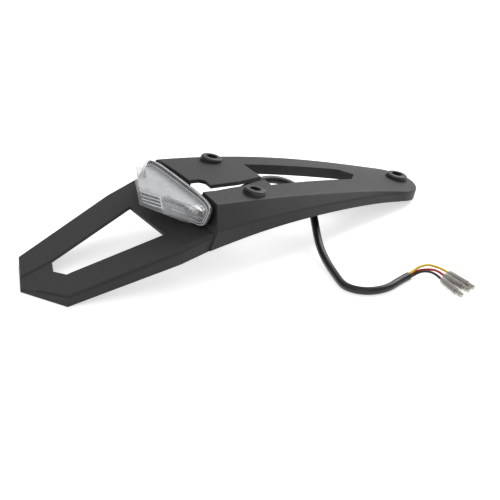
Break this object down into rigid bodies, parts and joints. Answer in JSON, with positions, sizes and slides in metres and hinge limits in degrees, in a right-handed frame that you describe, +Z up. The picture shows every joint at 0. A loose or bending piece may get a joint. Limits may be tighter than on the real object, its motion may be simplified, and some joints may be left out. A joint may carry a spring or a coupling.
{
  "type": "rear fender extension",
  "caption": "Arched matte black fender extension with a windowed tail frame, rubber-bushed mounting holes, a clear faceted rear lamp and its lead with bullet terminals.",
  "frame": {"origin": "on the ground under the middle of the bracket's length and width, the lead left out", "axes": "+X along the bracket to the mounting nose, +Z up, +Y to the left as seen from the tail"},
  "size_m": [0.338, 0.2311, 0.0628],
  "materials": {
    "moulding": "fine-grained matte black moulding",
    "grommet_rubber": "smooth black rubber with a soft sheen",
    "lamp_base": "black satin plastic",
    "seal_rubber": "matte black rubber",
    "clear_lens": "clear polished plastic",
    "reflector": "bright metallised plastic",
    "circuit_board": "pale board with a matte surface",
    "light_source": "clear domed resin",
    "screw_steel": "zinc-plated steel",
    "gland_rubber": "matte black rubber",
    "cable_sheath": "smooth black sheath with a soft gloss",
    "yellow_insulation": "yellow insulation",
    "red_insulation": "red insulation",
    "black_insulation": "black insulation",
    "terminal_metal": "plated brass",
    "terminal_sleeve": "milky clear soft sleeve"
  },
  "bodies": {
    "root": {"fender_extension": "moulding", "grommet_left": "grommet_rubber", "grommet_right": "grommet_rubber", "grommet_front": "grommet_rubber", "lamp_housing": "lamp_base", "lamp_seal": "seal_rubber", "lamp_lens": "clear_lens", "lamp_reflector": "reflector", "lamp_board": "circuit_board", "lamp_leds": "light_source", "lamp_screws": "screw_steel", "lamp_washers": "screw_steel", "cable_gland": "gland_rubber", "cable": "cable_sheath", "wire_yellow": "yellow_insulation", "wire_red": "red_insulation", "wire_black": "black_insulation", "terminal_yellow": "terminal_metal", "terminal_red": "terminal_metal", "terminal_black": "terminal_metal", "sleeve_yellow": "terminal_sleeve", "sleeve_red": "terminal_sleeve", "sleeve_black": "terminal_sleeve"}
  },
  "joints": []
}
